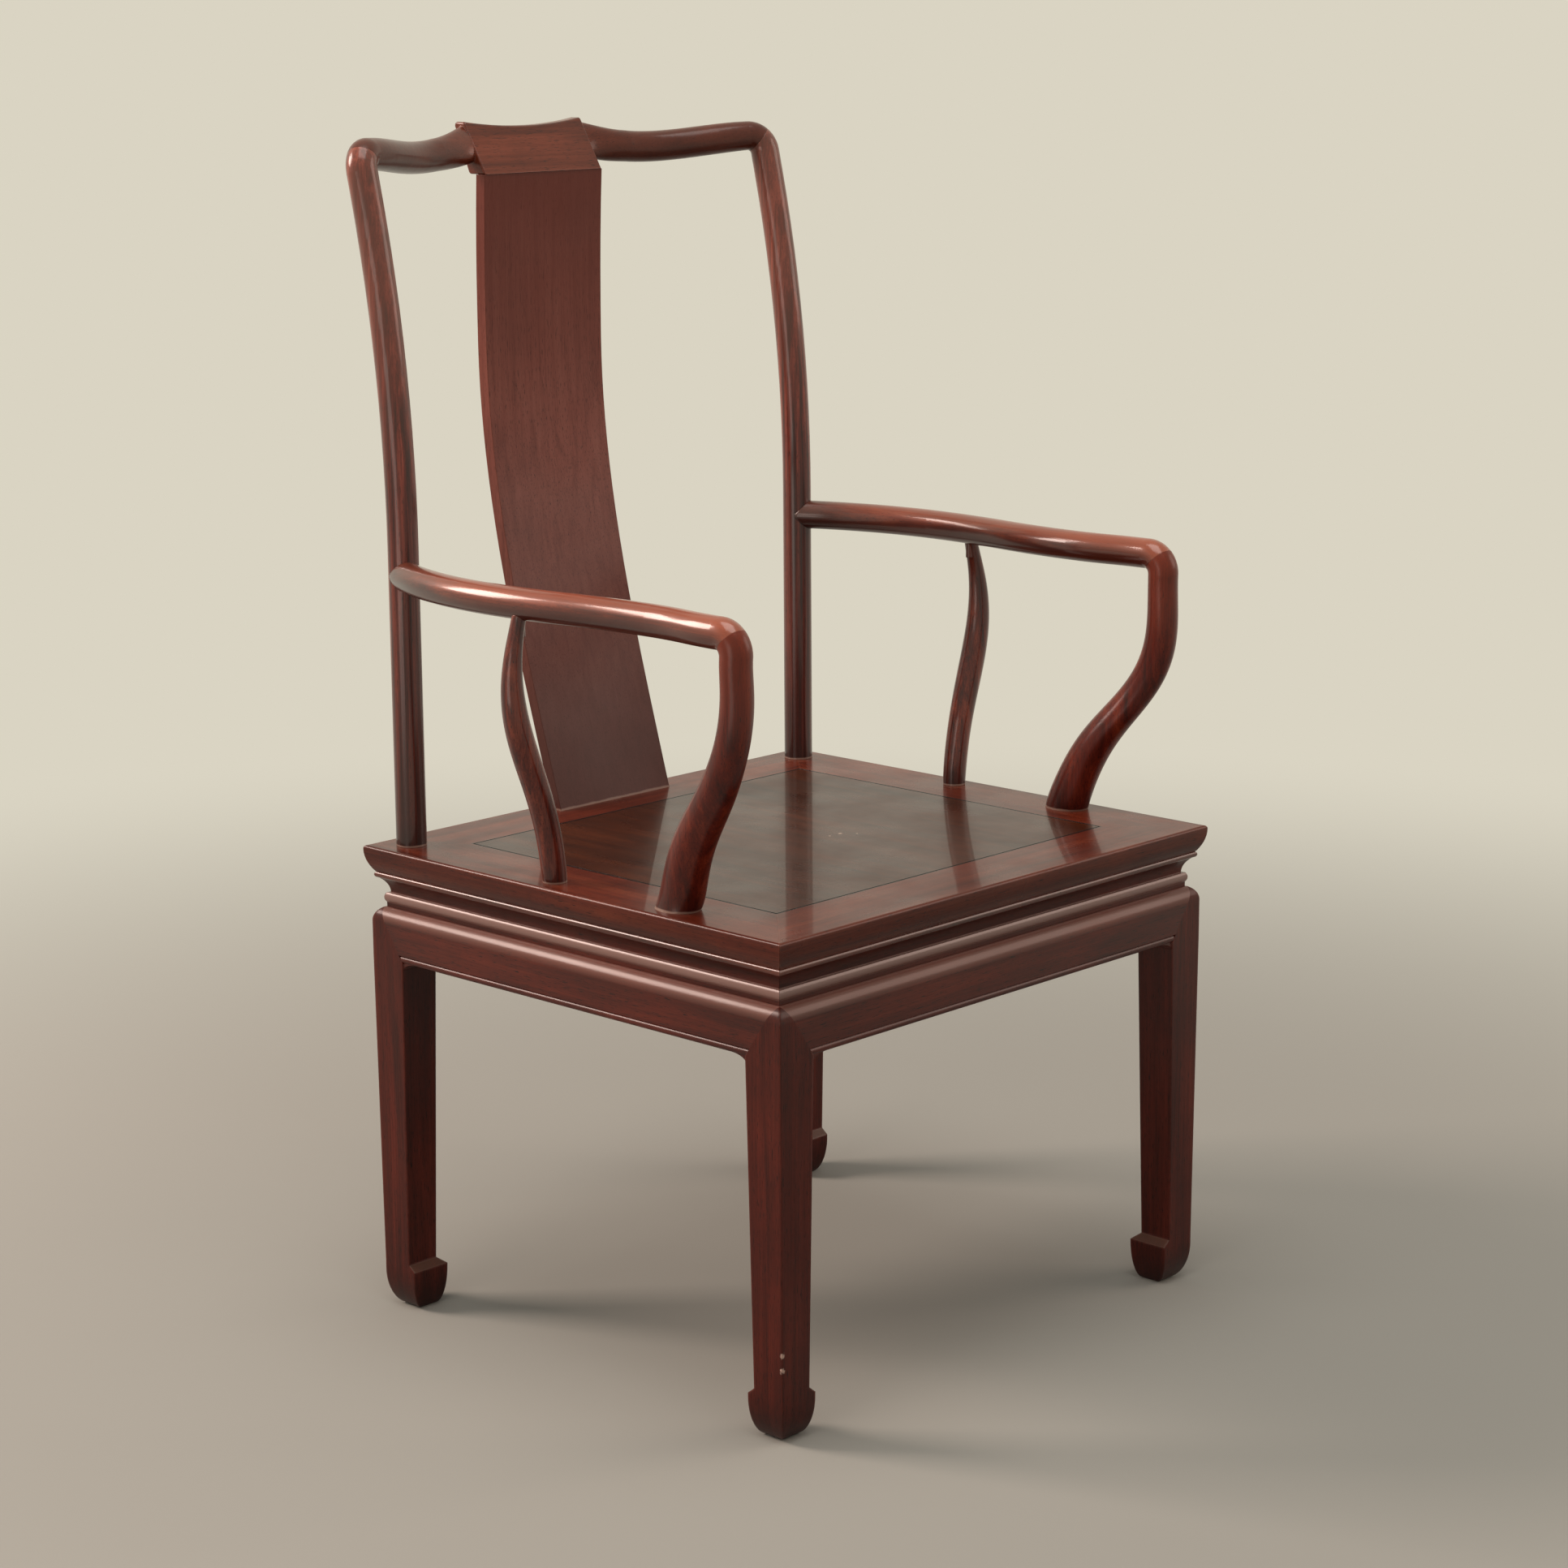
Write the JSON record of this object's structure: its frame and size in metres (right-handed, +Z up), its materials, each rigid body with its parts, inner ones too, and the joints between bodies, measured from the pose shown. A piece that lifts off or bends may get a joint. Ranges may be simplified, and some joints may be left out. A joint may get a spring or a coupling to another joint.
{
  "type": "wooden armchair",
  "caption": "Square-seated wooden armchair with a waisted seat, horse-hoof legs, curved arms and supports, a bent splat and a yoke-shaped crest rail.",
  "frame": {"origin": "on the floor, on the middle line, midway between the front edge of the seat and the back of the crest rail", "axes": "+Z up; -Y is the way the sitter faces; +X is to the right as seen from the front"},
  "size_m": [0.6466, 0.6279, 1.1035],
  "materials": {
    "seat_frame_rosewood": "polished",
    "seat_panel_rosewood": "polished",
    "batten_wood": "oiled",
    "waist_rosewood": "polished",
    "apron_rosewood": "polished",
    "leg_rosewood": "polished",
    "back_post_rosewood": "polished",
    "splat_rosewood": "polished",
    "crest_rosewood": "polished",
    "arm_rosewood": "polished",
    "gooseneck_rosewood": "polished",
    "side_post_rosewood": "polished"
  },
  "bodies": {
    "root": {"apron_back": "apron_rosewood", "apron_front": "apron_rosewood", "apron_left": "apron_rosewood", "apron_right": "apron_rosewood", "armrest_left": "arm_rosewood", "armrest_right": "arm_rosewood", "back_post_left": "back_post_rosewood", "back_post_right": "back_post_rosewood", "crest_rail": "crest_rosewood", "gooseneck_left": "gooseneck_rosewood", "gooseneck_right": "gooseneck_rosewood", "leg_back_left": "leg_rosewood", "leg_back_right": "leg_rosewood", "leg_front_left": "leg_rosewood", "leg_front_right": "leg_rosewood", "seat_batten_left": "batten_wood", "seat_batten_right": "batten_wood", "seat_panel": "seat_panel_rosewood", "seat_rail_back": "seat_frame_rosewood", "seat_rail_front": "seat_frame_rosewood", "seat_rail_left": "seat_frame_rosewood", "seat_rail_right": "seat_frame_rosewood", "side_post_left": "side_post_rosewood", "side_post_right": "side_post_rosewood", "splat": "splat_rosewood", "waist_back": "waist_rosewood", "waist_front": "waist_rosewood", "waist_left": "waist_rosewood", "waist_right": "waist_rosewood"}
  },
  "joints": []
}
